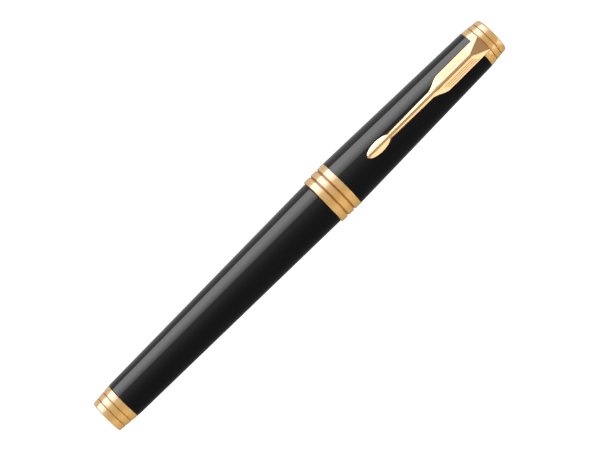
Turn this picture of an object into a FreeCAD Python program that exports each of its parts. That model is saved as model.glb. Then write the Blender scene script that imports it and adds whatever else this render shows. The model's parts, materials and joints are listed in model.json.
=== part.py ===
"""Capped rollerball pen, modelled piece by piece.

The pen lies along X with the cap towards +X and the pocket clip on top.  Every profile is drawn in
the pen's own frame, where X is the station in millimetres from the tail end and the pen's axis is the
X axis.  On export each piece is moved so that the origin is under the middle of the pen, on the
surface that it lies on.
"""

import FreeCAD
import Part

import math
import os

# ---------------------------------------------------------------- driving dimensions (millimetres)
LENGTH = 138.0            # tail end to cap end, capped
BAND_R = 6.98             # largest radius, at the cap band

TAIL_END_R = 4.80         # end ring of the barrel, at the tail end
TAIL_RING_R = 5.30        # the same ring where it meets the barrel
TAIL_RING_X = 6.0
BARREL_MOUTH_X = 77.2
BARREL_MOUTH_R = 6.50

CAP_LIP_X = 77.3
BAND_END_X = 84.1
CAP_TUBE_R = 6.95         # cap tube at the band
CAP_RING_X = 132.3        # cap tube ends and the cap's end ring starts
CAP_RING_R = 5.73
CAP_END_R = 5.10          # the end ring at the cap end, before its rounded edge
GROOVE_WIDTH = 0.34       # fine grooves in the rings at both ends
GROOVE_DEPTH = 0.14

NIB_X = 122.5             # writing end of the ball
REFILL_LENGTH = 110.5     # standard capped rollerball refill
REFILL_R = 3.1
REFILL_WALL_R = 2.75      # inside of the refill tube
BALL_R = 0.35

FREE_GAP = 0.1            # gap between pieces that move past each other
REFILL_PASSAGE_R = REFILL_R + 0.2

THREAD_PITCH = 0.8
THREAD_CREST_R = 4.45
THREAD_ROOT_R = 4.05
THREAD_X0 = 71.0
THREAD_X1 = 75.0

CLIP_HALF_WIDTH = 2.48    # blade
STEM_HALF_WIDTH = 0.74
FOOT_HALF_WIDTH = 1.52
FOOT_TIP_X = 92.75
FOOT_MID_X = 96.7
FLARE_X0 = 115.0          # the stem widens into the blade between these two stations
FLARE_X1 = 119.9
HIP_X = 129.6             # apex of the sloping facet at the blade's rear
CLIP_REAR_X = 134.0
CLIP_HINGE = (133.5, 5.25)  # station and height of the line that the clip flexes about
CLIP_KNUCKLE_R = 0.45

OUT = "parts"
AXIS = FreeCAD.Vector(1, 0, 0)
ORIGIN = FreeCAD.Vector(0, 0, 0)
TO_ROW_FRAME = FreeCAD.Vector(-LENGTH / 2, 0, BAND_R)


# ---------------------------------------------------------------- drawing helpers
def point(corner):
    """A (station, radius) pair as a point in the plane that profiles are drawn in."""
    return FreeCAD.Vector(corner[0], 0, corner[1])


def rounded(before, corner, after):
    """Start, middle and end of the arc that rounds a corner given as (station, radius, rounding)."""
    here = point(corner)
    to_before = (point(before) - here).normalize()
    to_after = (point(after) - here).normalize()
    half = to_before.getAngle(to_after) / 2
    reach = corner[2] / math.tan(half)
    inward = (to_before + to_after).normalize()
    middle = here + inward * (corner[2] / math.sin(half) - corner[2])
    return here + to_before * reach, middle, here + to_after * reach


def turned(corners):
    """Solid of revolution about the pen's axis.  A corner with a third value is rounded by it."""
    edges = []
    stops = []
    for i, corner in enumerate(corners):
        if len(corner) == 3:
            stops.append(rounded(corners[i - 1], corner, corners[(i + 1) % len(corners)]))
        else:
            stops.append((point(corner),))
    for i, stop in enumerate(stops):
        if len(stop) == 3:
            edges.append(Part.Arc(*stop).toShape())
        following = stops[(i + 1) % len(stops)][0]
        if (following - stop[-1]).Length > 1e-6:
            edges.append(Part.LineSegment(stop[-1], following).toShape())
    face = Part.Face(Part.Wire(edges))
    return face.revolve(ORIGIN, AXIS, 360)


def disc(x0, x1, radius):
    """Plain cylinder on the pen's axis, from station x0 to x1."""
    return Part.makeCylinder(radius, x1 - x0, FreeCAD.Vector(x0, 0, 0), AXIS)


def block(x0, x1, half_width, z0, z1):
    """Box across the pen, centred on its vertical plane."""
    corner = FreeCAD.Vector(x0, -half_width, z0)
    return Part.makeBox(x1 - x0, 2 * half_width, z1 - z0, corner)


def grooved(start, end, grooves, width, depth):
    """Corners of a straight outer line from start to end with square-bottomed grooves cut into it."""
    (x0, r0), (x1, r1) = start, end

    def radius(x):
        return r0 + (r1 - r0) * (x - x0) / (x1 - x0)

    corners = []
    for x in grooves:
        for offset, cut in ((-0.5, 0), (-0.3, depth), (0.3, depth), (0.5, 0)):
            station = x + offset * width
            corners.append((station, radius(station) - cut))
    return corners


def helical(corners, path_radius, pitch, x0, x1):
    """Solid made by a polygon of (radius, offset along the axis) corners on a right-handed helix."""
    points = [FreeCAD.Vector(radius, 0, offset) for radius, offset in corners]
    outline = Part.makePolygon(points + points[:1])
    helix = Part.makeHelix(pitch, x1 - x0, path_radius)
    solid = Part.Wire(helix.Edges).makePipeShell([outline], True, True)
    solid.rotate(ORIGIN, FreeCAD.Vector(0, 1, 0), 90)
    solid.translate(FreeCAD.Vector(x0, 0, 0))
    return solid


def smooth(x, x0, x1):
    """0 before x0, 1 after x1 and an even S between them."""
    t = min(1.0, max(0.0, (x - x0) / (x1 - x0)))
    return t * t * (3 - 2 * t)


def along(x, x0, r0, x1, r1):
    """Radius at station x of a straight taper from (x0, r0) to (x1, r1)."""
    return r0 + (r1 - r0) * (x - x0) / (x1 - x0)


def cap_radius(x):
    """Outside radius of the cap tube."""
    return along(x, BAND_END_X, CAP_TUBE_R, CAP_RING_X, CAP_RING_R)


# ---------------------------------------------------------------- barrel
PLUG_BOSS_R = 3.6
PLUG_SPIGOT_R = 4.65
PLUG_END_X = 8.5
SPRING_POCKET_R = 2.9
SPRING_POCKET_X = 5.0
INSERT_X0 = 68.0
INSERT_R = 5.8
SEAL_SEAT_X = 75.2
SEAL_SEAT_R = 5.2


def barrel_tube():
    """Lacquered brass tube: a long taper outside, with a seat for the plug and one for the insert."""
    return turned([
        (TAIL_RING_X, PLUG_SPIGOT_R),
        (TAIL_RING_X, TAIL_RING_R, 0.15),
        (TAIL_RING_X + 1.2, TAIL_RING_R + 0.06, 2.0),
        (BARREL_MOUTH_X, BARREL_MOUTH_R, 0.2),
        (BARREL_MOUTH_X, INSERT_R),
        (INSERT_X0, INSERT_R),
        (INSERT_X0 - 0.5, INSERT_R - 0.1),
        (PLUG_END_X + 1.5, PLUG_SPIGOT_R + 0.1),
        (PLUG_END_X, PLUG_SPIGOT_R),
    ])


def barrel_end_ring():
    """Plated ring at the tail: a taper with two fine grooves and a rounded end edge."""
    start = (0, TAIL_END_R)
    end = (TAIL_RING_X, TAIL_RING_R)
    return turned(
        [(0, PLUG_BOSS_R), (0, TAIL_END_R, 0.35)]
        + grooved(start, end, (1.95, 3.95), GROOVE_WIDTH, GROOVE_DEPTH)
        + [(TAIL_RING_X, TAIL_RING_R, 0.1), (TAIL_RING_X, PLUG_BOSS_R)]
    )


def barrel_end_disc():
    """Inlay set just below the rim of the end ring, with a low step round its face."""
    return turned([
        (0.35, 0), (0.35, 2.9), (0.2, 3.0), (0.2, PLUG_BOSS_R), (1.25, PLUG_BOSS_R), (1.25, 0),
    ])


def barrel_plug():
    """Brass plug that closes the tail, carries the end ring and holds the spring's seat."""
    return turned([
        (1.25, 0),
        (1.25, PLUG_BOSS_R),
        (TAIL_RING_X, PLUG_BOSS_R),
        (TAIL_RING_X, PLUG_SPIGOT_R),
        (PLUG_END_X, PLUG_SPIGOT_R),
        (PLUG_END_X, SPRING_POCKET_R + 0.3),
        (PLUG_END_X - 0.3, SPRING_POCKET_R),
        (SPRING_POCKET_X, SPRING_POCKET_R),
        (SPRING_POCKET_X, 0),
    ])


def barrel_thread_insert():
    """Threaded brass insert in the barrel's mouth, with a seat for the seal ring."""
    bore = THREAD_CREST_R + FREE_GAP
    return turned([
        (INSERT_X0, bore + 0.2),
        (INSERT_X0, INSERT_R),
        (BARREL_MOUTH_X - 0.1, INSERT_R),
        (BARREL_MOUTH_X - 0.1, SEAL_SEAT_R + 0.1),
        (BARREL_MOUTH_X - 0.2, SEAL_SEAT_R),
        (SEAL_SEAT_X, SEAL_SEAT_R),
        (SEAL_SEAT_X, bore),
        (INSERT_X0 + 0.2, bore),
    ])


# ---------------------------------------------------------------- spring and its seat
SEAT_R = SPRING_POCKET_R - FREE_GAP
SEAT_X0 = SPRING_POCKET_X + FREE_GAP
SEAT_X1 = SEAT_X0 + 0.9
REFILL_TAIL_X = NIB_X - REFILL_LENGTH
SPRING_WIRE_R = 0.24
SPRING_COIL_R = 2.3
SPRING_TURNS = 4.5
SPRING_WIRE_SIDES = 8


def spring_seat():
    """Loose turned seat between the plug and the spring, with a nub that centres the coils."""
    return turned([
        (SEAT_X0, 0), (SEAT_X0, SEAT_R, 0.15), (SEAT_X1, SEAT_R), (SEAT_X1, 1.7),
        (SEAT_X1 + 1.3, 1.5, 0.3), (SEAT_X1 + 1.3, 0),
    ])


def refill_spring():
    """Open-ended compression spring between its seat and the refill's tail."""
    x0 = SEAT_X1 + SPRING_WIRE_R + 0.05
    x1 = REFILL_TAIL_X - SPRING_WIRE_R - 0.05
    angles = [2 * math.pi * (i + 0.5) / SPRING_WIRE_SIDES for i in range(SPRING_WIRE_SIDES)]
    wire = [(SPRING_COIL_R + SPRING_WIRE_R * math.cos(t), SPRING_WIRE_R * math.sin(t)) for t in angles]
    return helical(wire, SPRING_COIL_R, (x1 - x0) / SPRING_TURNS, x0, x1)


# ---------------------------------------------------------------- refill
REFILL_TUBE_X0 = REFILL_TAIL_X + 1.2
REFILL_TUBE_X1 = 102.6
REFILL_PLUG_X1 = REFILL_TAIL_X + 6.0
NOSE_SHOULDER_X = REFILL_TUBE_X1 + 0.8
NOSE_STEP_R = 2.6
NOSE_END_X = 116.5
TIP_SHANK_X0 = 112.5
TIP_R = 1.15
FEED_R = 0.5
FEED_X0 = 90.0
RESERVOIR_X1 = 95.0
BALL_X = NIB_X - BALL_R
SOCKET_R = BALL_R + 0.02
TIP_END_X = BALL_X + 0.12
FEED_X1 = BALL_X - 1.3


def refill_tube():
    """Thin reservoir tube of the refill."""
    return turned([
        (REFILL_TUBE_X0, REFILL_WALL_R), (REFILL_TUBE_X0, REFILL_R, 0.08),
        (REFILL_TUBE_X1, REFILL_R), (REFILL_TUBE_X1, REFILL_WALL_R),
    ])


def refill_end_plug():
    """Moulded plug in the refill's tail, vented through its middle."""
    vent = 0.4
    return turned([
        (REFILL_TAIL_X, vent), (REFILL_TAIL_X, REFILL_R - 0.35), (REFILL_TAIL_X + 0.4, REFILL_R),
        (REFILL_TUBE_X0, REFILL_R), (REFILL_TUBE_X0, REFILL_WALL_R), (REFILL_PLUG_X1, REFILL_WALL_R),
        (REFILL_PLUG_X1, vent),
    ])


def ink_reservoir():
    """Fibre rod that holds the ink, bored at the front for the feed rod."""
    return turned([
        (REFILL_PLUG_X1, 0), (REFILL_PLUG_X1, REFILL_WALL_R), (RESERVOIR_X1, REFILL_WALL_R),
        (RESERVOIR_X1, FEED_R), (FEED_X0, FEED_R), (FEED_X0, 0),
    ])


def refill_nose():
    """Moulded holder between the reservoir tube and the metal tip."""
    return turned([
        (RESERVOIR_X1, FEED_R), (RESERVOIR_X1, REFILL_WALL_R), (REFILL_TUBE_X1, REFILL_WALL_R),
        (REFILL_TUBE_X1, REFILL_R), (NOSE_SHOULDER_X, REFILL_R), (NOSE_SHOULDER_X, NOSE_STEP_R),
        (NOSE_SHOULDER_X + 7.5, NOSE_STEP_R, 1.0), (NOSE_END_X, TIP_R + 0.35, 0.1), (NOSE_END_X, TIP_R),
        (TIP_SHANK_X0, TIP_R), (TIP_SHANK_X0, FEED_R),
    ])


def refill_tip():
    """Steel tip: shank in the nose, parallel front, cone, ink channel and ball socket."""
    channel = 0.2
    body = turned([
        (TIP_SHANK_X0, FEED_R), (TIP_SHANK_X0, TIP_R), (BALL_X - 2.6, TIP_R, 0.3),
        (TIP_END_X, SOCKET_R + 0.05), (TIP_END_X, channel), (FEED_X1, channel), (FEED_X1, FEED_R),
    ])
    return body.cut(Part.makeSphere(SOCKET_R, FreeCAD.Vector(BALL_X, 0, 0)))


def feed_rod():
    """Fibre wick from the reservoir to the ball."""
    return disc(FEED_X0, FEED_X1, FEED_R)


def writing_ball():
    """The ball that rolls ink on to the paper."""
    return Part.makeSphere(BALL_R, FreeCAD.Vector(BALL_X, 0, 0))


# ---------------------------------------------------------------- grip section
COLLAR_X0 = CAP_LIP_X
COLLAR_X1 = 79.2
COLLAR_R = 6.05
NECK_X1 = 83.0
NECK_R = 5.35
GRIP_REAR_R = 5.15
GRIP_WAIST_X = 104.0
GRIP_WAIST_R = 4.28
GRIP_FRONT_X = 113.8
GRIP_FRONT_R = 4.20
COUPLER_R = 4.2
COUPLER_X1 = 90.0
SHOULDER_R = 4.9
SEAL_R = 0.38
SEAL_X = 76.15
RING_GROOVE_R = 5.0
CLUTCH_X0 = 80.4
CLUTCH_X1 = 81.6
CLUTCH_R = 5.62
REFILL_STOP_X = NOSE_SHOULDER_X + 0.05
FRONT_BORE_R = NOSE_STEP_R + 0.15
NOSE_SPIGOT_X = 111.0
NOSE_SPIGOT_R = 3.4
NOSE_TIP_X = 117.6


def grip_shell():
    """Black grip: tapers to a waist where the fingers hold it, with a stop for the refill inside."""
    return turned([
        (NECK_X1, COUPLER_R),
        (NECK_X1, GRIP_REAR_R, 0.12),
        (GRIP_WAIST_X, GRIP_WAIST_R, 60.0),
        (GRIP_FRONT_X, GRIP_FRONT_R, 0.12),
        (GRIP_FRONT_X, NOSE_SPIGOT_R),
        (NOSE_SPIGOT_X, NOSE_SPIGOT_R),
        (NOSE_SPIGOT_X, FRONT_BORE_R),
        (REFILL_STOP_X, FRONT_BORE_R),
        (REFILL_STOP_X, REFILL_PASSAGE_R),
        (COUPLER_X1, REFILL_PASSAGE_R),
        (COUPLER_X1, COUPLER_R),
    ])


def coupler_thread():
    """Right-handed V ridge of the coupler's thread, sunk a little into the core."""
    base_r = THREAD_ROOT_R - 0.05
    half_base = THREAD_PITCH * 0.42
    half_crest = THREAD_PITCH * 0.08
    ridge = [
        (base_r, -half_base), (THREAD_CREST_R, -half_crest), (THREAD_CREST_R, half_crest),
        (base_r, half_base),
    ]
    half = THREAD_PITCH / 2
    return helical(ridge, THREAD_ROOT_R, THREAD_PITCH, THREAD_X0 + half, THREAD_X1 - half)


def grip_coupler():
    """Brass coupler: screws into the barrel, carries the seal and collar, and holds the grip shell."""
    groove = SEAL_R + 0.07
    core = turned([
        (THREAD_X0 - 0.4, REFILL_PASSAGE_R),
        (THREAD_X0 - 0.4, THREAD_ROOT_R, 0.15),
        (THREAD_X1 + 0.4, THREAD_ROOT_R),
        (THREAD_X1 + 0.4, SHOULDER_R),
        (SEAL_X - groove, SHOULDER_R),
        (SEAL_X - groove, SHOULDER_R - 0.53),
        (SEAL_X + groove, SHOULDER_R - 0.53),
        (SEAL_X + groove, SHOULDER_R),
        (COLLAR_X1, SHOULDER_R),
        (COLLAR_X1, COUPLER_R + 0.3),
        (NECK_X1, COUPLER_R + 0.3),
        (NECK_X1, COUPLER_R),
        (COUPLER_X1, COUPLER_R),
        (COUPLER_X1, REFILL_PASSAGE_R),
    ])
    return core.fuse(coupler_thread())


def coupler_seal():
    """Rubber ring that stops the barrel from working loose."""
    return Part.makeTorus(SHOULDER_R - 0.53 + SEAL_R, SEAL_R, FreeCAD.Vector(SEAL_X, 0, 0), AXIS)


def section_collar():
    """Plated collar that the cap's lip closes over, with a neck grooved for the clutch ring."""
    return turned([
        (COLLAR_X0, SHOULDER_R),
        (COLLAR_X0, COLLAR_R, 0.12),
        (COLLAR_X1, COLLAR_R, 0.25),
        (COLLAR_X1, NECK_R),
        (CLUTCH_X0, NECK_R),
        (CLUTCH_X0, RING_GROOVE_R),
        (CLUTCH_X1, RING_GROOVE_R),
        (CLUTCH_X1, NECK_R),
        (NECK_X1, NECK_R, 0.15),
        (NECK_X1, COUPLER_R + 0.3),
        (COLLAR_X1, COUPLER_R + 0.3),
        (COLLAR_X1, SHOULDER_R),
    ])


def clutch_ring():
    """Split spring ring in the collar's groove, which the cap's sleeve grips."""
    ring = turned([
        (CLUTCH_X0 + 0.05, RING_GROOVE_R), (CLUTCH_X0 + 0.05, CLUTCH_R, 0.2),
        (CLUTCH_X1 - 0.05, CLUTCH_R, 0.2), (CLUTCH_X1 - 0.05, RING_GROOVE_R),
    ])
    return ring.cut(block(CLUTCH_X0, CLUTCH_X1, 0.6, -CLUTCH_R - 1, 0))


def nose_ring():
    """Plated nose of the grip: spigot in the shell, rounded shoulder and a cone down to the tip."""
    return turned([
        (NOSE_SPIGOT_X, FRONT_BORE_R),
        (NOSE_SPIGOT_X, NOSE_SPIGOT_R),
        (GRIP_FRONT_X, NOSE_SPIGOT_R),
        (GRIP_FRONT_X, GRIP_FRONT_R, 0.12),
        (GRIP_FRONT_X + 0.9, GRIP_FRONT_R - 0.02, 0.35),
        (NOSE_TIP_X - 1.0, 2.35, 0.8),
        (NOSE_TIP_X, 1.95, 0.2),
        (NOSE_TIP_X, TIP_R + 0.45),
        (NOSE_TIP_X - 0.8, TIP_R + 0.45),
        (GRIP_FRONT_X + 0.4, FRONT_BORE_R),
    ])


# ---------------------------------------------------------------- cap
CAP_BORE_R = 6.15
SLEEVE_X0 = 79.6
SLEEVE_X1 = 92.0
SLEEVE_BORE_R = 5.7
LINER_X0 = 88.0
LINER_BORE_R = 4.45
LINER_END_X = 129.0
BUSH_SEAT_X = 126.0
BUSH_R = 5.1
BUSH_X0 = 129.2
BUSH_NECK_R = 4.3
BUSH_X1 = 133.2
SCREW_R = 1.2
TAB_X1 = 134.0
WEB_X0 = 134.6
WEB_X1 = 135.4
END_RECESS_R = 3.9
CLIP_SLOT_X1 = 134.2


def cap_band():
    """Plated band round the cap's mouth: three rounded rings with two deep grooves between them."""
    grooves = (79.55, 81.85)
    half = 0.24
    depth = 0.34
    inner = [(BAND_END_X, CAP_BORE_R), (CAP_LIP_X, CAP_BORE_R)]
    corners = [(CAP_LIP_X, BAND_R, 0.3)]
    for x in grooves:
        corners += [
            (x - half, BAND_R, 0.14), (x - half, BAND_R - depth),
            (x + half, BAND_R - depth), (x + half, BAND_R, 0.14),
        ]
    corners.append((BAND_END_X, BAND_R, 0.12))
    return turned(corners + inner)


def cap_sleeve():
    """Brass sleeve that joins band and tube, and slides over the clutch ring."""
    return turned([
        (SLEEVE_X0, SLEEVE_BORE_R + 0.15), (SLEEVE_X0, CAP_BORE_R), (SLEEVE_X1, CAP_BORE_R),
        (SLEEVE_X1, SLEEVE_BORE_R), (SLEEVE_X0 + 0.4, SLEEVE_BORE_R),
    ])


def cap_tube():
    """Lacquered brass tube of the cap, seated on the sleeve and closed by the bush."""
    return turned([
        (BAND_END_X, CAP_BORE_R),
        (BAND_END_X, CAP_TUBE_R, 0.08),
        (CAP_RING_X, CAP_RING_R, 0.08),
        (CAP_RING_X, BUSH_R),
        (BUSH_SEAT_X, BUSH_R),
        (BUSH_SEAT_X - 0.4, BUSH_R + 0.1),
        (SLEEVE_X1 + 0.4, CAP_BORE_R - 0.1),
        (SLEEVE_X1, CAP_BORE_R),
    ])


def inner_cap():
    """Moulded liner that closes over the writing end and keeps it from drying."""
    return turned([
        (LINER_X0, 5.4),
        (LINER_X0, SLEEVE_BORE_R),
        (SLEEVE_X1, SLEEVE_BORE_R),
        (BUSH_SEAT_X, BUSH_R),
        (LINER_END_X, BUSH_R, 0.4),
        (LINER_END_X, 0),
        (LINER_END_X - 1.0, 0),
        (LINER_END_X - 1.0, LINER_BORE_R, 0.5),
        (112.0, LINER_BORE_R),
        (92.5, 5.2),
    ])


def cap_bush():
    """Brass bush in the end of the cap tube, tapped for the clip screw."""
    return turned([
        (BUSH_X0, 0), (BUSH_X0, BUSH_R, 0.2), (CAP_RING_X, BUSH_R), (CAP_RING_X, BUSH_NECK_R),
        (BUSH_X1, BUSH_NECK_R), (BUSH_X1, SCREW_R), (BUSH_X0 + 1.2, SCREW_R), (BUSH_X0 + 1.2, 0),
    ])


def clip_mount():
    """Sheet tab clamped under the end ring, with the cradle that the clip's root flexes in."""
    tab = disc(BUSH_X1, TAB_X1, BUSH_NECK_R).cut(disc(BUSH_X1, TAB_X1, SCREW_R + 0.1))
    x, z = CLIP_HINGE
    cradle = block(BUSH_X1, CLIP_SLOT_X1 - 0.1, CLIP_HALF_WIDTH - 0.1, 3.2, z - 0.1)
    cradle = cradle.fuse(block(x - 0.9, BUSH_X1, CLIP_HALF_WIDTH - 0.1, BUSH_NECK_R, z - 0.1))
    knuckle_room = Part.makeCylinder(CLIP_KNUCKLE_R + 0.05, 4 * CLIP_HALF_WIDTH,
                                     FreeCAD.Vector(x, -2 * CLIP_HALF_WIDTH, z),
                                     FreeCAD.Vector(0, 1, 0))
    return tab.fuse(cradle).cut(knuckle_room)


def clip_washer():
    """Washer between the clip's tab and the web of the end ring."""
    return disc(TAB_X1, WEB_X0, 3.1).cut(disc(TAB_X1, WEB_X0, SCREW_R + 0.1))


def clip_screw():
    """Slotted screw that draws end ring, washer and clip tab on to the bush."""
    head_x1 = WEB_X1 + 1.1
    screw = turned([
        (BUSH_X0 + 1.5, 0), (BUSH_X0 + 1.5, SCREW_R, 0.25), (WEB_X1, SCREW_R), (WEB_X1, 2.5),
        (head_x1, 2.5, 0.25), (head_x1, 0),
    ])
    return screw.cut(block(head_x1 - 0.5, head_x1 + 1, 0.3, -3, 3))


def cap_end_ring():
    """Plated end ring of the cap: a taper with two fine grooves, a web inside and a slot for the clip."""
    start = (CAP_RING_X, CAP_RING_R)
    end = (LENGTH, CAP_END_R)
    ring = turned(
        [(CAP_RING_X, BUSH_NECK_R), start]
        + grooved(start, end, (134.4, 136.1), GROOVE_WIDTH, GROOVE_DEPTH)
        + [
            (LENGTH, CAP_END_R, 0.55), (LENGTH, END_RECESS_R), (WEB_X1, END_RECESS_R),
            (WEB_X1, SCREW_R + 0.1), (WEB_X0, SCREW_R + 0.1), (WEB_X0, BUSH_NECK_R),
        ]
    )
    return ring.cut(block(CAP_RING_X - 1, CLIP_SLOT_X1, CLIP_HALF_WIDTH + 0.02, 3.2, CAP_RING_R + 1))


def cap_end_disc():
    """Inlay set just below the rim of the cap's end ring, with a low step round its face."""
    face = LENGTH - 0.2
    return turned([
        (face - 0.15, 0), (face - 0.15, 3.1), (face, 3.2), (face, END_RECESS_R),
        (face - 0.9, END_RECESS_R), (face - 0.9, 0),
    ])


# ---------------------------------------------------------------- pocket clip
CLIP_STATIONS = 44
POCKET_GAP = 0.9          # under the stem and blade, where the pocket's edge goes
FOOT_GAP = 0.08
ROOT_GAP = 0.4
TIP_CURL = 0.45           # how far the foot's tip turns up
TIP_HEIGHT = 0.45         # thickness of the clip along its middle: at the foot's tip, the foot's widest
FOOT_HEIGHT = 1.57        # point, the stem and the blade
STEM_HEIGHT = 1.12
BLADE_HEIGHT = 1.45
FOOT_EDGE = 0.72          # thickness at the side edges of the foot, stem and blade
STEM_EDGE = 0.62
SIDE_EDGE = 0.32
FRONT_EDGE_SHARE = 0.45   # at most this share of the thickness is left at the edges, in front of the
REAR_EDGE_SHARE = 0.7     # foot's widest point and behind it
FOOT_END_X = 103.5        # the foot has run out into the stem


def clip_half_width(x):
    """Outline of the clip from above: oval foot, slender stem and broad blade."""
    stem = along(x, FOOT_MID_X, STEM_HALF_WIDTH, FLARE_X0, STEM_HALF_WIDTH + 0.2)
    stem += (CLIP_HALF_WIDTH - stem) * smooth(x, FLARE_X0, FLARE_X1)
    reach = (x - FOOT_MID_X) / (FOOT_MID_X - FOOT_TIP_X)
    oval = FOOT_HALF_WIDTH * math.sqrt(max(0.0, 1 - reach * reach))
    if x < FOOT_MID_X:
        stem *= smooth(x, FOOT_TIP_X, FOOT_MID_X)
    return max((oval ** 3 + stem ** 3) ** (1 / 3), 0.2)


def clip_line(x):
    """Height above the pen's axis that the clip's thickness is measured from."""
    gap = FOOT_GAP + (POCKET_GAP - FOOT_GAP) * smooth(x, 97.6, FOOT_END_X)
    gap += TIP_CURL * (1 - smooth(x, FOOT_TIP_X, 95.2))
    return cap_radius(x) + gap


def clip_underside(x):
    """Height of the clip's underside, which comes down to the cap at the root."""
    return clip_line(x) - (POCKET_GAP - ROOT_GAP) * smooth(x, 126.0, 132.0)


def clip_section(x):
    """One cross-section of the clip: flat underside, short edges, two flanks and a narrow ridge."""
    half = clip_half_width(x)
    under = clip_underside(x)
    line = clip_line(x)
    foot = 1 - smooth(x, FOOT_MID_X, FOOT_END_X)
    blade = smooth(x, FLARE_X0, FLARE_X1)
    rise = STEM_HEIGHT + (FOOT_HEIGHT - STEM_HEIGHT) * foot + (BLADE_HEIGHT - STEM_HEIGHT) * blade
    rise -= (FOOT_HEIGHT - TIP_HEIGHT) * (1 - smooth(x, FOOT_TIP_X - 1.0, FOOT_MID_X))
    edge = STEM_EDGE + (FOOT_EDGE - STEM_EDGE) * foot + (SIDE_EDGE - STEM_EDGE) * blade
    edge = min(edge, (FRONT_EDGE_SHARE if x < FOOT_MID_X else REAR_EDGE_SHARE) * rise)
    ridge_half = min(0.16, 0.4 * half)
    top = line + rise
    if x > HIP_X:
        share = (x - HIP_X) / (CLIP_REAR_X - HIP_X)
        ridge_half += (CLIP_HALF_WIDTH - 0.25 - ridge_half) * share
        top_at_hip = clip_line(HIP_X) + rise
        top = top_at_hip + (clip_line(CLIP_REAR_X) + SIDE_EDGE + 0.12 - top_at_hip) * share
    corners = [
        (-half, under), (-half, line + edge), (-ridge_half, top),
        (ridge_half, top), (half, line + edge), (half, under),
    ]
    return Part.makePolygon([FreeCAD.Vector(x, y, z) for y, z in corners + corners[:1]])


def clip_stations():
    """Stations of the clip's cross-sections, closer together at the foot's round end."""
    count = CLIP_STATIONS
    near_tip = [FOOT_TIP_X + 0.05 + 0.9 * (i / 5) ** 2 for i in range(5)]
    rest = [FOOT_TIP_X + 1.4 + (HIP_X - FOOT_TIP_X - 1.4) * i / count for i in range(count)]
    return near_tip + rest + [HIP_X, CLIP_REAR_X]


def clip():
    """Sprung pocket clip, with a round knuckle at its root."""
    blade = Part.makeLoft([clip_section(x) for x in clip_stations()], True, True)
    x, z = CLIP_HINGE
    half = CLIP_HALF_WIDTH - 0.1
    knuckle = Part.makeCylinder(CLIP_KNUCKLE_R, 2 * half, FreeCAD.Vector(x, -half, z),
                                FreeCAD.Vector(0, 1, 0))
    root = block(x - CLIP_KNUCKLE_R, x + CLIP_KNUCKLE_R, half, z, clip_underside(x) + 0.1)
    return blade.fuse(knuckle.fuse(root))


# ---------------------------------------------------------------- export
PIECES = [
    barrel_tube, barrel_end_ring, barrel_end_disc, barrel_plug, barrel_thread_insert,
    spring_seat, refill_spring,
    refill_tube, refill_end_plug, ink_reservoir, refill_nose, refill_tip, feed_rod, writing_ball,
    grip_shell, grip_coupler, coupler_seal, section_collar, clutch_ring, nose_ring,
    cap_band, cap_sleeve, cap_tube, inner_cap, cap_bush, clip_mount, clip_washer, clip_screw,
    cap_end_ring, cap_end_disc, clip,
]


def main():
    os.makedirs(OUT, exist_ok=True)
    for piece in PIECES:
        shape = piece()
        solids = shape.Solids
        if len(solids) != 1 or not shape.isValid():
            print("CHECK", piece.__name__, "solids", len(solids), "valid", shape.isValid())
        solid = solids[0]
        solid.translate(TO_ROW_FRAME)
        solid.exportStep(os.path.join(OUT, piece.__name__ + ".step"))
        print(f"{piece.__name__:22s} {solid.Volume:10.3f} mm3")


main()
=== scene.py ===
"""Looks of a capped rollerball pen: black lacquer, gold plate and what is inside, round its CAD frame.

Places along the pen are stations in millimetres from the tail end, and radii are millimetres from the
pen's axis, which lies along X.  Every piece is a mesh in the row frame, in metres.
"""
import json
import math

import bmesh
import bpy
from mathutils import Matrix, Vector


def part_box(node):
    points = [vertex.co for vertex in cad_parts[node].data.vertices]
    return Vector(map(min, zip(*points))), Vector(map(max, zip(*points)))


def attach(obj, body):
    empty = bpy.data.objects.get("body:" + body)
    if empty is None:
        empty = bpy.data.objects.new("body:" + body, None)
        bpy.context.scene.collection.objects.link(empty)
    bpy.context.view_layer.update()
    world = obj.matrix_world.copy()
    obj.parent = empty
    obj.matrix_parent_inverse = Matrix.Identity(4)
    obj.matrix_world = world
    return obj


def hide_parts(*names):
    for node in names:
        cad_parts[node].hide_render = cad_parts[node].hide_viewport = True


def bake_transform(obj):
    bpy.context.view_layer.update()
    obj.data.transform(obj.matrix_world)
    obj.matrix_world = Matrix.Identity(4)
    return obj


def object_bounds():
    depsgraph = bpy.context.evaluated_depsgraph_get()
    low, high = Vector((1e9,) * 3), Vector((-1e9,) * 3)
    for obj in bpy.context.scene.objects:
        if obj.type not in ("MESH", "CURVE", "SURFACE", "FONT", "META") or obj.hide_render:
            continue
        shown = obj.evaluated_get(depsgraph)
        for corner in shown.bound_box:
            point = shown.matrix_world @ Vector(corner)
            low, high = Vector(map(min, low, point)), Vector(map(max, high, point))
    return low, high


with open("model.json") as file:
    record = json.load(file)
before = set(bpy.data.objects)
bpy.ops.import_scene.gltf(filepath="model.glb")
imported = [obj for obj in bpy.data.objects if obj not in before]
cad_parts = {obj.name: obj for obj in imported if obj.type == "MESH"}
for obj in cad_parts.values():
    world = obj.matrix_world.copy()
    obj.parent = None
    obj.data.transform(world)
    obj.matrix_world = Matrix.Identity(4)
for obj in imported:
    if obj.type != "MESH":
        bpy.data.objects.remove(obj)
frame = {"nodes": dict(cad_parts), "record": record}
CAD_LOW, CAD_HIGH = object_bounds()

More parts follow.
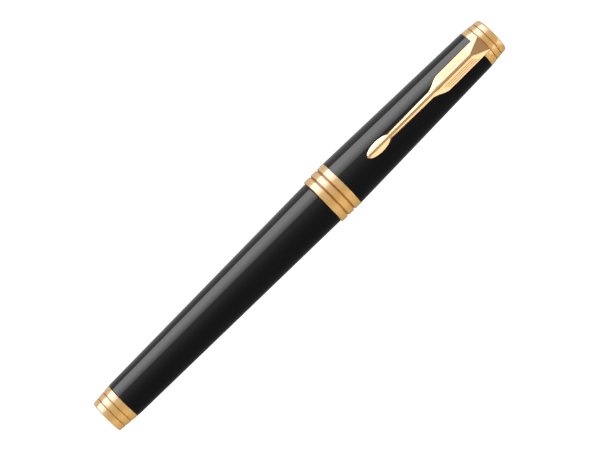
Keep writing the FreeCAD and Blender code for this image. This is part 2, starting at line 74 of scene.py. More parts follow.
MM = 0.001
TAIL_X = CAD_LOW.x
BAND_LOW, BAND_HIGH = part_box("cap_band")
AXIS_Z = (BAND_LOW.z + BAND_HIGH.z) / 2
FULL_TURN = 2 * math.pi
BODY_OF = {node: body for body, nodes in frame["record"]["behaviour"]["bodies"].items() for node in nodes}
SLOT_OF = {part["node"]: part["material_slot"] for part in frame["record"]["subparts"]}


def at(station, across=0.0, up=0.0):
    """Point in the row frame from a station, a distance across and a height above the pen's axis."""
    return Vector((TAIL_X + station * MM, across * MM, AXIS_Z + up * MM))


def stations(node):
    """First and last station of a CAD node."""
    low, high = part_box(node)
    return (low.x - TAIL_X) / MM, (high.x - TAIL_X) / MM


# ---------------------------------------------------------------- materials
def new_material(name, base, metallic=0.0, roughness=0.4, **sockets):
    """Material with one Principled shader; sockets are its other inputs, with _ for spaces."""
    material = bpy.data.materials.new(name)
    material.use_nodes = True
    shader = shader_of(material)
    shader.inputs["Base Color"].default_value = (*base, 1)
    shader.inputs["Metallic"].default_value = metallic
    shader.inputs["Roughness"].default_value = roughness
    for socket, value in sockets.items():
        shader.inputs[socket.replace("_", " ")].default_value = value
    return material


def shader_of(material):
    return material.node_tree.nodes["Principled BSDF"]


def add(material, kind, **settings):
    """Node of that kind, with properties or, for a socket's name, its value set."""
    node = material.node_tree.nodes.new(kind)
    for key, value in settings.items():
        if hasattr(node, key):
            setattr(node, key, value)
        else:
            node.inputs[key.replace("_", " ")].default_value = value
    return node


def link(material, source, target):
    material.node_tree.links.new(source, target)


def pattern(material, cells, detail):
    """Noise over the piece's own coordinates, with that many cells per metre along X, Y and Z."""
    where = add(material, "ShaderNodeTexCoord")
    mapping = add(material, "ShaderNodeMapping")
    mapping.inputs["Scale"].default_value = cells
    noise = add(material, "ShaderNodeTexNoise", Scale=1.0, Detail=detail)
    link(material, where.outputs["Object"], mapping.inputs["Vector"])
    link(material, mapping.outputs["Vector"], noise.inputs["Vector"])
    return noise.outputs["Fac"]


def edges(material):
    """0 on open surfaces and 1 on outer edges, where handling wears them."""
    geometry = add(material, "ShaderNodeNewGeometry")
    spread = add(material, "ShaderNodeMapRange", From_Min=0.52, From_Max=0.6)
    link(material, geometry.outputs["Pointiness"], spread.inputs["Value"])
    return spread.outputs["Result"]


def painted_groove_shade(material, reach_mm, most):
    """Painted groove shade from ambient occlusion: 0 on open surfaces and up to most deep in a groove, where
    the plate is painted darker and redder to stand in for shade.
    """
    shade = add(material, "ShaderNodeAmbientOcclusion", samples=8, Distance=reach_mm * MM)
    spread = add(material, "ShaderNodeMapRange", From_Min=0.97, From_Max=0.75, To_Max=most)
    link(material, shade.outputs["AO"], spread.inputs["Value"])
    return spread.outputs["Result"]


def vary(material, fac, socket, low, high):
    """Moves a number socket of the shader between low and high by a pattern."""
    spread = add(material, "ShaderNodeMapRange", From_Min=0.3, From_Max=0.7, To_Min=low, To_Max=high)
    link(material, fac, spread.inputs["Value"])
    link(material, spread.outputs["Result"], shader_of(material).inputs[socket])


def tint(material, fac, first, second):
    """Base colour between two colours by a pattern."""
    colour = blend_colours(material, fac, (*first, 1), (*second, 1))
    link(material, colour, shader_of(material).inputs["Base Color"])


def blend_colours(material, fac, first, second):
    """Mix of two colours, each a value or another node's output."""
    mix = add(material, "ShaderNodeMix", data_type="RGBA")
    link(material, fac, mix.inputs["Factor"])
    sockets = [socket for socket in mix.inputs if socket.type == "RGBA"]
    for socket, colour in zip(sockets, (first, second)):
        if isinstance(colour, tuple):
            socket.default_value = colour
        else:
            link(material, colour, socket)
    return next(output for output in mix.outputs if output.type == "RGBA")


def bump(material, fac, height_mm, strength):
    """Relief of that height in millimetres from a pattern."""
    relief = add(material, "ShaderNodeBump", Strength=strength, Distance=height_mm * MM)
    link(material, fac, relief.inputs["Height"])
    link(material, relief.outputs["Normal"], shader_of(material).inputs["Normal"])


def lacquer():
    """Deep black lacquer, polished, with faint handling marks and a barely uneven surface."""
    material = new_material("lacquer", (0.0025, 0.0025, 0.003), roughness=0.05, IOR=1.5)
    vary(material, pattern(material, (260.0, 900.0, 900.0), detail=6.0), "Roughness", 0.035, 0.08)
    bump(material, pattern(material, (90.0, 140.0, 140.0), detail=1.0), 0.004, strength=0.3)
    return material


WORN_EDGE = (0.95, 0.72, 0.42, 1)
# Painted groove shade: the darker, redder colour painted into grooves, and how far round a groove that painted
# shade reaches.
GROOVE_SHADE_GOLD = (0.42, 0.13, 0.006, 1)
GROOVE_SHADE_REACH = 0.7        # how far round it a hollow is felt


def gold(name, first, second, metallic, roughness, coat, coat_ior, lines, relief_mm, deep=1.0):
    """Gold plate with fine lines where it was turned or brushed, bright worn edges, and painted shade in its
    grooves: a darker, redder colour and less coat there, as strong as deep says.
    """
    material = new_material(name, first, metallic=metallic, Coat_Weight=1.0, Coat_Roughness=coat,
                            Coat_IOR=coat_ior)
    patches = pattern(material, (500.0, 350.0, 350.0), detail=4.0)
    vary(material, patches, "Roughness", roughness - 0.06, roughness + 0.06)
    colour = blend_colours(material, patches, (*first, 1), (*second, 1))
    colour = blend_colours(material, edges(material), colour, WORN_EDGE)
    # Painted shade: grooves are darkened and reddened by ambient occlusion, and their coat is cut back so they
    # show less reflection.
    inside = painted_groove_shade(material, GROOVE_SHADE_REACH, deep)
    colour = blend_colours(material, inside, colour, GROOVE_SHADE_GOLD)
    link(material, colour, shader_of(material).inputs["Base Color"])
    shaded_coat = add(material, "ShaderNodeMapRange", To_Min=1.0, To_Max=0.1)
    link(material, inside, shaded_coat.inputs["Value"])
    link(material, shaded_coat.outputs["Result"], shader_of(material).inputs["Coat Weight"])
    bump(material, pattern(material, lines, detail=2.0), relief_mm, strength=0.5)
    return material


def metal(name, first, second, roughness, lines):
    """Bare metal, marked by how it was made."""
    material = new_material(name, first, metallic=1.0, roughness=roughness)
    patches = pattern(material, (400.0, 300.0, 300.0), detail=5.0)
    vary(material, patches, "Roughness", roughness * 0.8, roughness * 1.25)
    tint(material, patches, first, second)
    bump(material, pattern(material, lines, detail=2.0), 0.004, strength=0.5)
    return material


def plastic(name, first, second, roughness, cells, relief_mm):
    """Moulded plastic, rubber or fibre with a fine grain."""
    material = new_material(name, first, roughness=roughness)
    grain = pattern(material, cells, detail=6.0)
    vary(material, grain, "Roughness", roughness * 0.85, roughness * 1.15)
    tint(material, pattern(material, (300.0, 300.0, 300.0), detail=3.0), first, second)
    bump(material, grain, relief_mm, strength=0.6)
    return material


# Cells per metre along X, Y and Z, of rings left by turning, of drawn lines and of a moulded grain.
TURNED = (7000.0, 50.0, 50.0)
DRAWN = (60.0, 4000.0, 4000.0)
GRAIN = (5000.0, 5000.0, 5000.0)
MATERIALS = {
    "lacquer": lacquer(),
    "gold_trim": gold("gold_trim", (0.86, 0.49, 0.13), (0.75, 0.42, 0.095), metallic=0.15,
                      roughness=0.4, coat=0.11, coat_ior=2.3, lines=TURNED, relief_mm=0.008),
    "end_inlay": gold("end_inlay", (0.70, 0.42, 0.15), (0.62, 0.36, 0.12), metallic=0.3,
                      roughness=0.3, coat=0.1, coat_ior=2.1, lines=GRAIN, relief_mm=0.004),
    # deep sets how strong the painted groove shade is in each gold.
    "gold_polished": gold("gold_polished", (0.9, 0.47, 0.14), (0.82, 0.41, 0.11), metallic=0.8,
                          roughness=0.2, coat=0.06, coat_ior=2.2, lines=DRAWN, relief_mm=0.001, deep=0.4),
    "plain_brass": metal("plain_brass", (0.78, 0.57, 0.25), (0.66, 0.46, 0.19), 0.3, TURNED),
    "grip_resin": plastic("grip_resin", (0.006, 0.006, 0.007), (0.012, 0.012, 0.013), 0.22, GRAIN, 0.002),
    "liner_plastic": plastic("liner_plastic", (0.03, 0.03, 0.032), (0.05, 0.05, 0.053), 0.45, GRAIN, 0.004),
    "spring_steel": metal("spring_steel", (0.62, 0.61, 0.6), (0.5, 0.49, 0.47), 0.24, DRAWN),
    "seat_plastic": plastic("seat_plastic", (0.62, 0.61, 0.58), (0.54, 0.53, 0.5), 0.4, GRAIN, 0.004),
    "seal_rubber": plastic("seal_rubber", (0.012, 0.012, 0.012), (0.03, 0.03, 0.03), 0.6, GRAIN, 0.01),
    "refill_metal": metal("refill_metal", (0.6, 0.6, 0.62), (0.5, 0.5, 0.52), 0.22, DRAWN),
    "refill_plastic": plastic("refill_plastic", (0.03, 0.05, 0.16), (0.02, 0.035, 0.12), 0.38, GRAIN, 0.004),
    "tip_steel": metal("tip_steel", (0.68, 0.67, 0.65), (0.56, 0.55, 0.53), 0.16, TURNED),
    "ink_fibre": plastic("ink_fibre", (0.08, 0.09, 0.22), (0.04, 0.05, 0.14), 0.85, DRAWN, 0.03),
}


# ---------------------------------------------------------------- mesh building
SEGMENTS = 144
ARC_STEPS = 5
SHARP_ANGLE = math.radians(32)
CLIP_SHARP_ANGLE = math.radians(24)
ON_AXIS = 1e-9            # a smaller radius than this is a point on the axis
RUN_STEP = 0.08           # between points on a run that a thread is cut in
GROOVE_WIDTH = 0.34       # fine grooves in the rings at both ends
GROOVE_DEPTH = 0.14
GROOVE_ROUNDING = 0.05


def rounded_corner(before, corner, after):
    """Points of the arc that rounds a corner given as (station, radius, rounding)."""
    here = Vector(corner[:2])
    to_before = (Vector(before[:2]) - here).normalized()
    to_after = (Vector(after[:2]) - here).normalized()
    half = to_before.angle(to_after) / 2
    centre = here + (to_before + to_after).normalized() * (corner[2] / math.sin(half))
    start = here + to_before * (corner[2] / math.tan(half)) - centre
    end = here + to_after * (corner[2] / math.tan(half)) - centre
    sweep = start.angle_signed(end)
    return [
        tuple(centre + Matrix.Rotation(-sweep * i / ARC_STEPS, 2) @ start) for i in range(ARC_STEPS + 1)
    ]


def outline(corners):
    """Closed outline from corners, with an arc for each corner that has a third value."""
    points = []
    for i, corner in enumerate(corners):
        if len(corner) == 3:
            points += rounded_corner(corners[i - 1], corner, corners[(i + 1) % len(corners)])
        else:
            points.append(tuple(corner))
    return points


def run(x0, x1, radius):
    """Points between two stations on a straight run, for a thread to be cut in."""
    count = round(abs(x1 - x0) / RUN_STEP)
    return [(x0 + (x1 - x0) * i / count, radius) for i in range(count + 1)]


def as_piece(node, vertices, faces, sharp=SHARP_ANGLE, rides=True):
    """Mesh object that stands for a CAD node: smooth, with its real edges sharp."""
    name = "skin_" + node
    mesh = bpy.data.meshes.new(name)
    mesh.from_pydata(vertices, [], faces)
    mesh.validate()
    form = bmesh.new()
    form.from_mesh(mesh)
    bmesh.ops.recalc_face_normals(form, faces=form.faces)
    form.to_mesh(mesh)
    form.free()
    piece = bpy.data.objects.new(name, mesh)
    bpy.context.scene.collection.objects.link(piece)
    mesh.shade_smooth()
    mesh.set_sharp_from_angle(angle=sharp)
    piece.modifiers.new("normals", "WEIGHTED_NORMAL").keep_sharp = True
    mesh.materials.append(MATERIALS[SLOT_OF[node]])
    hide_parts(node)
    if rides:
        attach(piece, BODY_OF[node])
    return piece


def lathe(node, corners, relief=None):
    """Turned piece in place of a CAD node, as long as the node is.

    Corners are (station, radius) or (station, radius, rounding).  Points on the axis close the form.
    relief(station, radius, angle) is added to the radius.
    """
    points = outline(corners)
    first, last = min(x for x, r in points), max(x for x, r in points)
    node_first, node_last = stations(node)
    stretch = (node_last - node_first) / (last - first)
    vertices, starts = [], []
    for x, r in points:
        starts.append(len(vertices))
        for i in range(1 if r < ON_AXIS else SEGMENTS):
            angle = FULL_TURN * i / SEGMENTS
            radius = r + (relief(x, r, angle) if relief else 0)
            station = node_first + (x - first) * stretch
            vertices.append(at(station, radius * math.sin(angle), radius * math.cos(angle)))
    faces = []
    for k, (x, r) in enumerate(points):
        after = (k + 1) % len(points)
        a, b = starts[k], starts[after]
        closes, opens = points[after][1] < ON_AXIS, r < ON_AXIS
        for i in range(SEGMENTS):
            j = (i + 1) % SEGMENTS
            if opens and not closes:
                faces.append((a, b + j, b + i))
            elif closes and not opens:
                faces.append((a + i, a + j, b))
            elif not opens:
                faces.append((a + i, a + j, b + j, b + i))
    return as_piece(node, vertices, faces)


def cut_block(piece, x0, x1, half_width, z0, z1):
    """Cuts a block across the pen, centred on its vertical plane, out of a piece."""
    mesh = bpy.data.meshes.new("cutter")
    corners = [at(x, y, z) for x in (x0, x1) for y in (-half_width, half_width) for z in (z0, z1)]
    faces = [(0, 1, 3, 2), (4, 6, 7, 5), (0, 4, 5, 1), (2, 3, 7, 6), (0, 2, 6, 4), (1, 5, 7, 3)]
    mesh.from_pydata(corners, [], faces)
    cutter = bpy.data.objects.new("cutter", mesh)
    bpy.context.scene.collection.objects.link(cutter)
    cut = piece.modifiers.new("cut", "BOOLEAN")
    cut.operation = "DIFFERENCE"
    cut.solver = "EXACT"
    cut.object = cutter
    normals = piece.modifiers["normals"]
    piece.modifiers.remove(normals)
    depsgraph = bpy.context.evaluated_depsgraph_get()
    result = bpy.data.meshes.new_from_object(piece.evaluated_get(depsgraph))
    piece.modifiers.clear()
    piece.data = result
    result.set_sharp_from_angle(angle=SHARP_ANGLE)
    piece.modifiers.new("normals", "WEIGHTED_NORMAL").keep_sharp = True
    bpy.data.objects.remove(cutter)


def grooves(start, end, middles):
    """Corners of fine grooves with soft edges in a straight outer line from start to end."""
    (x0, r0), (x1, r1) = start, end
    corners = []
    for x in middles:
        for offset, cut in ((-0.5, 0), (-0.3, GROOVE_DEPTH), (0.3, GROOVE_DEPTH), (0.5, 0)):
            station = x + offset * GROOVE_WIDTH
            radius = r0 + (r1 - r0) * (station - x0) / (x1 - x0) - cut
            corners.append((station, radius) if cut else (station, radius, GROOVE_ROUNDING))
    return corners


# ---------------------------------------------------------------- barrel, seat and spring
TAIL_END_R = 4.8
TAIL_RING_X, TAIL_RING_R = 6.0, 5.3
BARREL_MOUTH_X, BARREL_MOUTH_R = 77.2, 6.5
INLAY_X1 = 1.25
PLUG_BOSS_R = 3.6         # in the tail ring
PLUG_SPIGOT_R = 4.65      # in the barrel tube
PLUG_END_X = 8.5
SPRING_POCKET_X, SPRING_POCKET_R = 5.0, 2.9
INSERT_X0, INSERT_R = 68.0, 5.8
INSERT_BORE_R = 4.55
SEAL_SEAT_X, SEAL_SEAT_R = 75.2, 5.2
SEAT_X0, SEAT_STEP_X, SEAT_X1 = 5.1, 6.0, 7.3
SEAT_R = 2.8
THREAD_PITCH = 0.8
THREAD_ROOT_R = 4.05
THREAD_CREST_X = 71.4     # where a crest of the thread points down
THREAD_DEPTH = 0.4
INSERT_THREAD_DEPTH = 0.3
RIDGE_HALF = 0.42         # of a turn, from the crest's middle to the root
RIDGE_SLOPE = 0.34        # of a turn, from the crest's edge to the root
THREAD_FADE = 0.4


def on_ridge(x, angle, x0, x1):
    """1 on the crest of the right-handed thread, 0 in its root, fading out at its ends."""
    turns = (x - THREAD_CREST_X) / THREAD_PITCH - (math.pi - angle) / FULL_TURN
    off_crest = abs(turns - round(turns))
    crest = min(1.0, max(0.0, (RIDGE_HALF - off_crest) / RIDGE_SLOPE))
    fade = min(1.0, max(0.0, (x - x0) / THREAD_FADE), max(0.0, (x1 - x) / THREAD_FADE))
    return crest * fade


def barrel():
    lathe("barrel_tube", [
        (TAIL_RING_X, PLUG_SPIGOT_R), (TAIL_RING_X, TAIL_RING_R, 0.15),
        (TAIL_RING_X + 1.2, TAIL_RING_R + 0.06, 2.0), (BARREL_MOUTH_X, BARREL_MOUTH_R, 0.2),
        (BARREL_MOUTH_X, INSERT_R), (INSERT_X0, INSERT_R), (INSERT_X0 - 0.5, INSERT_R - 0.1),
        (PLUG_END_X + 1.5, PLUG_SPIGOT_R + 0.1), (PLUG_END_X, PLUG_SPIGOT_R),
    ])
    lathe("barrel_end_ring",
          [(0, PLUG_BOSS_R), (0, TAIL_END_R, 0.35)]
          + grooves((0, TAIL_END_R), (TAIL_RING_X, TAIL_RING_R), (1.95, 3.95))
          + [(TAIL_RING_X, TAIL_RING_R, 0.1), (TAIL_RING_X, PLUG_BOSS_R)])
    lathe("barrel_end_disc", [
        (0.35, 0), (0.35, 2.9), (0.2, 3.0, 0.08), (0.2, PLUG_BOSS_R), (INLAY_X1, PLUG_BOSS_R),
        (INLAY_X1, 0),
    ])
    lathe("barrel_plug", [
        (INLAY_X1, 0), (INLAY_X1, PLUG_BOSS_R), (TAIL_RING_X, PLUG_BOSS_R), (TAIL_RING_X, PLUG_SPIGOT_R),
        (PLUG_END_X, PLUG_SPIGOT_R, 0.1), (PLUG_END_X, SPRING_POCKET_R + 0.3),
        (PLUG_END_X - 0.3, SPRING_POCKET_R), (SPRING_POCKET_X, SPRING_POCKET_R), (SPRING_POCKET_X, 0),
    ])
    x0, x1 = INSERT_X0 + 0.4, SEAL_SEAT_X - 0.1
    lathe("barrel_thread_insert", [
        (INSERT_X0, INSERT_BORE_R + 0.2), (INSERT_X0, INSERT_R), (BARREL_MOUTH_X - 0.1, INSERT_R),
        (BARREL_MOUTH_X - 0.1, SEAL_SEAT_R + 0.1), (BARREL_MOUTH_X - 0.2, SEAL_SEAT_R),
        (SEAL_SEAT_X, SEAL_SEAT_R), (SEAL_SEAT_X, INSERT_BORE_R), *run(x1, x0, INSERT_BORE_R),
        (INSERT_X0 + 0.2, INSERT_BORE_R),
    ], relief=lambda x, r, angle: (
        INSERT_THREAD_DEPTH * on_ridge(x, angle, x0, x1) if r == INSERT_BORE_R else 0))
    lathe("spring_seat", [
        (SEAT_X0, 0), (SEAT_X0, SEAT_R, 0.15), (SEAT_STEP_X, SEAT_R, 0.12), (SEAT_STEP_X, 1.7),
        (SEAT_X1, 1.5, 0.3), (SEAT_X1, 0),
    ])


def spring():
    """Round wire wound on a helix.  It is attached to no body."""
    turns, coil_r, wire_r = 4.5, 2.3, 0.24
    sides, steps = 14, 260
    x0, x1 = stations("refill_spring")
    x0, x1 = x0 + wire_r, x1 - wire_r
    vertices, faces = [], []
    for i in range(steps + 1):
        angle = FULL_TURN * turns * i / steps
        middle = x0 + (x1 - x0) * i / steps
        for k in range(sides):
            around = FULL_TURN * k / sides
            r = coil_r + wire_r * math.cos(around)
            vertices.append(at(middle + wire_r * math.sin(around), r * math.sin(angle), -r * math.cos(angle)))
    for i in range(steps):
        for k in range(sides):
            a, b = i * sides + k, i * sides + (k + 1) % sides
            faces.append((a, b, b + sides, a + sides))
    faces.append(tuple(range(sides)))
    faces.append(tuple(steps * sides + k for k in range(sides)))
    coil = as_piece("refill_spring", vertices, faces, rides=False)
    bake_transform(coil)


# ---------------------------------------------------------------- refill
REFILL_TAIL_X = 12.0
REFILL_R = 3.1
REFILL_WALL_R = 2.75      # inside of the refill tube
REFILL_TUBE_X0, REFILL_TUBE_X1 = 13.2, 102.6
REFILL_PLUG_X1 = 18.0
RESERVOIR_X1 = 95.0
FEED_X0, FEED_X1 = 90.0, 120.85
FEED_R = 0.5
NOSE_SHOULDER_X = 103.4
NOSE_STEP_R = 2.6
NOSE_END_X = 116.5
TIP_SHANK_X0 = 112.5
TIP_R = 1.15
BALL_X = 122.15
SOCKET_R = 0.37
SOCKET_LIP, SOCKET_SEAT = 1.24, 2.57   # angles from the axis where the socket ends
SOCKET_STEPS = 6


def refill():
    lathe("refill_tube", [
        (REFILL_TUBE_X0, REFILL_WALL_R), (REFILL_TUBE_X0, REFILL_R, 0.08),
        (REFILL_TUBE_X1, REFILL_R, 0.08), (REFILL_TUBE_X1, REFILL_WALL_R),
    ])
    vent_r = 0.4
    lathe("refill_end_plug", [
        (REFILL_TAIL_X, vent_r), (REFILL_TAIL_X, REFILL_R - 0.35, 0.12), (REFILL_TAIL_X + 0.4, REFILL_R, 0.1),
        (REFILL_TUBE_X0, REFILL_R), (REFILL_TUBE_X0, REFILL_WALL_R), (REFILL_PLUG_X1, REFILL_WALL_R),
        (REFILL_PLUG_X1, vent_r),
    ])
    lathe("ink_reservoir", [
        (REFILL_PLUG_X1, 0), (REFILL_PLUG_X1, REFILL_WALL_R, 0.1), (RESERVOIR_X1, REFILL_WALL_R, 0.1),
        (RESERVOIR_X1, FEED_R), (FEED_X0, FEED_R), (FEED_X0, 0),
    ])
    lathe("refill_nose", [
        (RESERVOIR_X1, FEED_R), (RESERVOIR_X1, REFILL_WALL_R), (REFILL_TUBE_X1, REFILL_WALL_R),
        (REFILL_TUBE_X1, REFILL_R, 0.08), (NOSE_SHOULDER_X, REFILL_R, 0.08), (NOSE_SHOULDER_X, NOSE_STEP_R),
        (NOSE_SHOULDER_X + 7.5, NOSE_STEP_R, 1.0), (NOSE_END_X, TIP_R + 0.35, 0.1), (NOSE_END_X, TIP_R),
        (TIP_SHANK_X0, TIP_R), (TIP_SHANK_X0, FEED_R),
    ])
    socket = [
        (BALL_X + SOCKET_R * math.cos(t), SOCKET_R * math.sin(t))
        for t in [
            SOCKET_LIP + (SOCKET_SEAT - SOCKET_LIP) * i / SOCKET_STEPS for i in range(SOCKET_STEPS + 1)
        ]
    ]
    lathe("refill_tip", [
        (TIP_SHANK_X0, FEED_R), (TIP_SHANK_X0, TIP_R), (BALL_X - 2.6, TIP_R, 0.3),
        (BALL_X + 0.12, SOCKET_R + 0.05), *socket, (FEED_X1, 0.2), (FEED_X1, FEED_R),
    ])


# ---------------------------------------------------------------- grip section
COLLAR_X0, COLLAR_X1 = 77.3, 79.2
COLLAR_R = 6.05
NECK_X1, NECK_R = 83.0, 5.35
NECK_BORE_R = 4.5
COUPLER_X0, COUPLER_X1 = 70.6, 90.0
COUPLER_R = 4.2
COUPLER_BORE_R = 3.3
THREAD_X0, THREAD_X1 = 71.0, 75.0
SHOULDER_X, SHOULDER_R = 75.4, 4.9
SEAL_X, SEAL_R = 76.15, 0.38
SEAL_MIDDLE_R = 4.75
SEAL_GROOVE_R = 4.37
SEAL_SIDES = 16
CLUTCH_X0, CLUTCH_X1 = 80.4, 81.6
CLUTCH_R = 5.62
RING_GROOVE_R = 5.0
GRIP_FRONT_X, GRIP_FRONT_R = 113.8, 4.2
NOSE_SPIGOT_X, NOSE_SPIGOT_R = 111.0, 3.4
FRONT_BORE_R = 2.75
REFILL_STOP_X = 103.45
NOSE_TIP_X = 117.6


def section():
    lathe("grip_shell", [
        (NECK_X1, COUPLER_R), (NECK_X1, 5.15, 0.12), (104.0, 4.28, 60.0), (GRIP_FRONT_X, GRIP_FRONT_R, 0.12),
        (GRIP_FRONT_X, NOSE_SPIGOT_R), (NOSE_SPIGOT_X, NOSE_SPIGOT_R), (NOSE_SPIGOT_X, FRONT_BORE_R),
        (REFILL_STOP_X, FRONT_BORE_R), (REFILL_STOP_X, COUPLER_BORE_R), (COUPLER_X1, COUPLER_BORE_R),
        (COUPLER_X1, COUPLER_R),
    ])
    lathe("grip_coupler", [
        (COUPLER_X0, COUPLER_BORE_R), (COUPLER_X0, THREAD_ROOT_R, 0.15),
        *run(THREAD_X0, THREAD_X1, THREAD_ROOT_R), (SHOULDER_X, THREAD_ROOT_R),
        (SHOULDER_X, SHOULDER_R, 0.05), (SHOULDER_X + 0.3, SHOULDER_R), (SHOULDER_X + 0.3, SEAL_GROOVE_R),
        (SHOULDER_X + 1.2, SEAL_GROOVE_R), (SHOULDER_X + 1.2, SHOULDER_R), (COLLAR_X1, SHOULDER_R),
        (COLLAR_X1, NECK_BORE_R), (NECK_X1, NECK_BORE_R), (NECK_X1, COUPLER_R), (COUPLER_X1, COUPLER_R),
        (COUPLER_X1, COUPLER_BORE_R),
    ], relief=lambda x, r, angle: (
        THREAD_DEPTH * on_ridge(x, angle, THREAD_X0, THREAD_X1) if r == THREAD_ROOT_R else 0))
    lathe("coupler_seal", [
        (SEAL_X - SEAL_R * math.cos(t), SEAL_MIDDLE_R + SEAL_R * math.sin(t))
        for t in [FULL_TURN * i / SEAL_SIDES for i in range(SEAL_SIDES)]
    ])
    lathe("section_collar", [
        (COLLAR_X0, SHOULDER_R), (COLLAR_X0, COLLAR_R, 0.12), (COLLAR_X1, COLLAR_R, 0.25),
        (COLLAR_X1, NECK_R), (CLUTCH_X0, NECK_R, 0.05), (CLUTCH_X0, RING_GROOVE_R), (CLUTCH_X1, RING_GROOVE_R),
        (CLUTCH_X1, NECK_R, 0.05), (NECK_X1, NECK_R, 0.15), (NECK_X1, NECK_BORE_R), (COLLAR_X1, NECK_BORE_R),
        (COLLAR_X1, SHOULDER_R),
    ])
    ring = lathe("clutch_ring", [
        (CLUTCH_X0 + 0.05, RING_GROOVE_R), (CLUTCH_X0 + 0.05, CLUTCH_R, 0.2),
        (CLUTCH_X1 - 0.05, CLUTCH_R, 0.2), (CLUTCH_X1 - 0.05, RING_GROOVE_R),
    ])
    cut_block(ring, CLUTCH_X0 - 0.4, CLUTCH_X1 + 0.4, 0.6, -7, 0)
    lathe("nose_ring", [
        (NOSE_SPIGOT_X, FRONT_BORE_R), (NOSE_SPIGOT_X, NOSE_SPIGOT_R), (GRIP_FRONT_X, NOSE_SPIGOT_R),
        (GRIP_FRONT_X, GRIP_FRONT_R, 0.12), (GRIP_FRONT_X + 0.9, GRIP_FRONT_R - 0.02, 0.35),
        (NOSE_TIP_X - 1.0, 2.35, 0.8), (NOSE_TIP_X, 1.95, 0.2), (NOSE_TIP_X, TIP_R + 0.45),
        (NOSE_TIP_X - 0.8, TIP_R + 0.45), (GRIP_FRONT_X + 0.4, FRONT_BORE_R),
    ])


# ---------------------------------------------------------------- cap
LENGTH = 138.0
BAND_R = 6.98
BAND_END_X, CAP_TUBE_R = 84.1, 6.95
BAND_GROOVES = (79.55, 81.85)
BAND_GROOVE_HALF, BAND_GROOVE_DEPTH = 0.24, 0.34
CAP_RING_X, CAP_RING_R = 132.3, 5.73
CAP_END_R = 5.1
CAP_BORE_R = 6.15
SLEEVE_X0, SLEEVE_X1 = 79.6, 92.0
SLEEVE_BORE_R = 5.7
LINER_X0, LINER_END_X = 88.0, 129.0
LINER_BORE_R = 4.45
BUSH_SEAT_X, BUSH_R = 126.0, 5.1
BUSH_NECK_R = 4.3
WEB_X0, WEB_X1 = 134.6, 135.4
END_RECESS_R = 3.9
CLIP_SLOT_X1 = 134.2
CAP_INLAY_X = 137.8


def cap():
    corners = [(COLLAR_X0, CAP_BORE_R), (COLLAR_X0, BAND_R, 0.3)]
    for x in BAND_GROOVES:
        x0, x1 = x - BAND_GROOVE_HALF, x + BAND_GROOVE_HALF
        deep = BAND_R - BAND_GROOVE_DEPTH
        corners += [(x0, BAND_R, 0.14), (x0, deep), (x1, deep), (x1, BAND_R, 0.14)]
    lathe("cap_band", corners + [(BAND_END_X, BAND_R, 0.12), (BAND_END_X, CAP_BORE_R)])
    lathe("cap_sleeve", [
        (SLEEVE_X0, SLEEVE_BORE_R + 0.15), (SLEEVE_X0, CAP_BORE_R), (SLEEVE_X1, CAP_BORE_R),
        (SLEEVE_X1, SLEEVE_BORE_R), (SLEEVE_X0 + 0.4, SLEEVE_BORE_R),
    ])
    lathe("cap_tube", [
        (BAND_END_X, CAP_BORE_R), (BAND_END_X, CAP_TUBE_R, 0.08), (CAP_RING_X, CAP_RING_R, 0.08),
        (CAP_RING_X, BUSH_R), (BUSH_SEAT_X, BUSH_R), (BUSH_SEAT_X - 0.4, BUSH_R + 0.1),
        (SLEEVE_X1 + 0.4, CAP_BORE_R - 0.1), (SLEEVE_X1, CAP_BORE_R),
    ])
    lathe("inner_cap", [
        (LINER_X0, 5.4), (LINER_X0, SLEEVE_BORE_R), (SLEEVE_X1, SLEEVE_BORE_R), (BUSH_SEAT_X, BUSH_R),
        (LINER_END_X, BUSH_R, 0.4), (LINER_END_X, 0), (LINER_END_X - 1.0, 0),
        (LINER_END_X - 1.0, LINER_BORE_R, 0.5), (112.0, LINER_BORE_R), (SLEEVE_X1 + 0.5, 5.2),
    ])
    ring = lathe("cap_end_ring",
                 [(CAP_RING_X, BUSH_NECK_R), (CAP_RING_X, CAP_RING_R, 0.05)]
                 + grooves((CAP_RING_X, CAP_RING_R), (LENGTH, CAP_END_R), (134.4, 136.1))
                 + [(LENGTH, CAP_END_R, 0.55), (LENGTH, END_RECESS_R), (WEB_X1, END_RECESS_R),
                    (WEB_X1, 1.3), (WEB_X0, 1.3), (WEB_X0, BUSH_NECK_R)])
    cut_block(ring, CAP_RING_X - 1.3, CLIP_SLOT_X1, 2.5, 3.2, 7)
    lathe("cap_end_disc", [
        (CAP_INLAY_X - 0.15, 0), (CAP_INLAY_X - 0.15, 3.1), (CAP_INLAY_X, 3.2, 0.08),
        (CAP_INLAY_X, END_RECESS_R), (CAP_INLAY_X - 0.9, END_RECESS_R), (CAP_INLAY_X - 0.9, 0),
    ])


# ---------------------------------------------------------------- pocket clip
CLIP_HALF_WIDTH = 2.48
STEM_HALF_WIDTH = 0.74    # where it leaves the foot
STEM_SPREAD = 0.2         # added to it by the start of the blade
FOOT_HALF_WIDTH = 1.52
MIN_HALF_WIDTH = 0.12
FOOT_TIP_X = 92.75
CURL_END_X = 95.2         # the foot's tip turns up in front of this
FOOT_MID_X = 96.7         # the foot is widest
GAP_START_X = 97.6        # the gap under the clip grows from here to the foot's end
FOOT_END_X = 103.5        # the foot has run out into the stem
FLARE_X0, FLARE_X1 = 115.0, 119.9
ROOT_X0, ROOT_X1 = 126.0, 132.0
HIP_X = 129.4             # the middle of the blade slopes down behind this
HINGE_X, HINGE_Z = 133.5, 5.25
KNUCKLE_R = 0.45
FOOT_GAP = 0.08
POCKET_GAP = 0.9          # under the stem and blade, where the pocket's edge goes
ROOT_GAP = 0.4
TIP_CURL = 0.45           # how far the foot's tip turns up
TIP_HEIGHT = 0.45         # thickness along the middle at the tip, foot, stem and blade
FOOT_HEIGHT = 1.57
STEM_HEIGHT = 1.12
